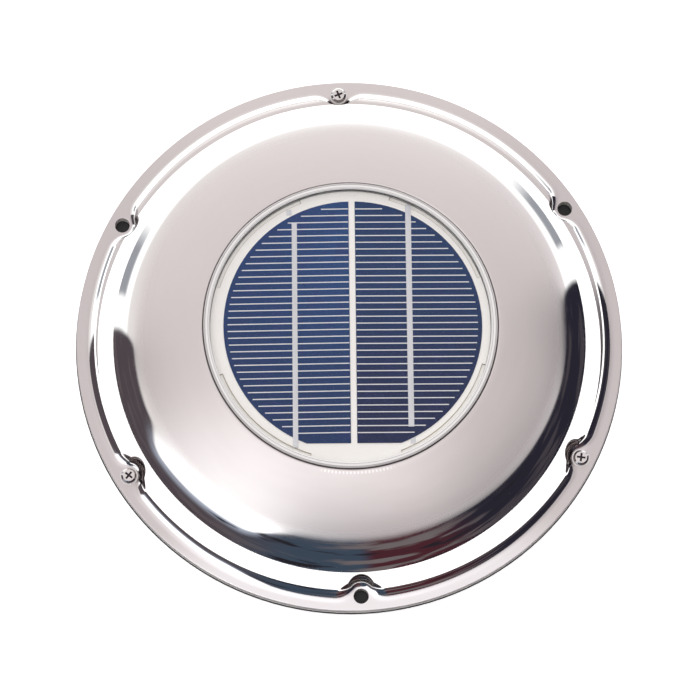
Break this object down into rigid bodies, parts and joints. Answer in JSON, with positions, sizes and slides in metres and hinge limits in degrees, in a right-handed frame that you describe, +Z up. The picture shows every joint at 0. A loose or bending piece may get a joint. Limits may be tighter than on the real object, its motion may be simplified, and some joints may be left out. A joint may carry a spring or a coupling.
{
  "type": "solar roof ventilator",
  "caption": "Low round stainless solar roof fan with a domed cover, a clear window over a round solar cell, a ducted motor fan and an insect screen.",
  "frame": {"origin": "centre of the round gasket's underside, on the roof surface", "axes": "+Z up out of the roof, along the fan's axis; +Y towards one of the three cover screws"},
  "size_m": [0.216, 0.216, 0.0695],
  "materials": {
    "stainless": "polished shoulder, satin crown",
    "screw_steel": "bright",
    "clear_lens": "clear moulded polycarbonate",
    "white_abs": "satin moulded",
    "black_plastic": "satin moulded",
    "red_plastic": "satin moulded",
    "silicon_blue": "blue coated silicon",
    "silicon_navy": "navy coated silicon",
    "tinned_copper": "tinned",
    "brass": "plain",
    "white_silicone": "satin",
    "gasket_rubber": "matt",
    "battery_sleeve": "shrink sleeve",
    "board_green": "solder mask",
    "magnet": "ferrite",
    "copper_winding": "enamelled copper",
    "lead_red": "satin",
    "lead_black": "satin",
    "mesh_steel": "woven wire"
  },
  "bodies": {
    "vent": {"cover_dome": "stainless", "window_seal": "white_silicone", "window_lens": "clear_lens", "cell_carrier": "white_abs", "solar_cell_left": "silicon_blue", "solar_cell_right": "silicon_navy", "cell_fingers": "tinned_copper", "cell_ribbons": "tinned_copper", "cover_screws": "screw_steel", "base_ring": "white_abs", "duct_sleeve": "white_abs", "thread_inserts": "brass", "roof_gasket": "gasket_rubber", "motor_housing": "white_abs", "housing_screws": "screw_steel", "battery_cell": "battery_sleeve", "battery_terminals": "tinned_copper", "door_hinge_pin": "screw_steel", "switch_body": "black_plastic", "circuit_board": "board_green", "board_parts": "black_plastic", "lead_positive": "lead_red", "lead_negative": "lead_black", "motor_can": "screw_steel", "motor_end_cap": "black_plastic", "motor_magnets": "magnet", "motor_bushing": "brass"},
    "rotor": {"motor_shaft": "screw_steel", "motor_armature": "copper_winding", "fan_impeller": "white_abs", "hub_cap": "white_abs"},
    "door": {"battery_door": "white_abs"},
    "slider": {"switch_slider": "red_plastic"},
    "screen": {"screen_frame": "white_abs", "screen_grille": "white_abs", "insect_screen": "mesh_steel"}
  },
  "joints": [
    {"name": "fan_spin", "type": "hinge", "parent": "vent", "child": "rotor", "pos_m": [0, 0, 0], "axis": [0, 0, 1], "continuous": true},
    {"name": "battery_door_hinge", "type": "hinge", "parent": "vent", "child": "door", "pos_m": [0, 0.033, 0.0254], "axis": [1, 0, 0], "range_deg": [0, 80]},
    {"name": "power_switch", "type": "slide", "parent": "vent", "child": "slider", "axis": [1, 0, 0], "range_m": [0, 0.004]},
    {"name": "screen_twist", "type": "hinge", "parent": "vent", "child": "screen", "pos_m": [0, 0, -0.038], "axis": [0, 0, 1], "range_deg": [0, 20]}
  ]
}
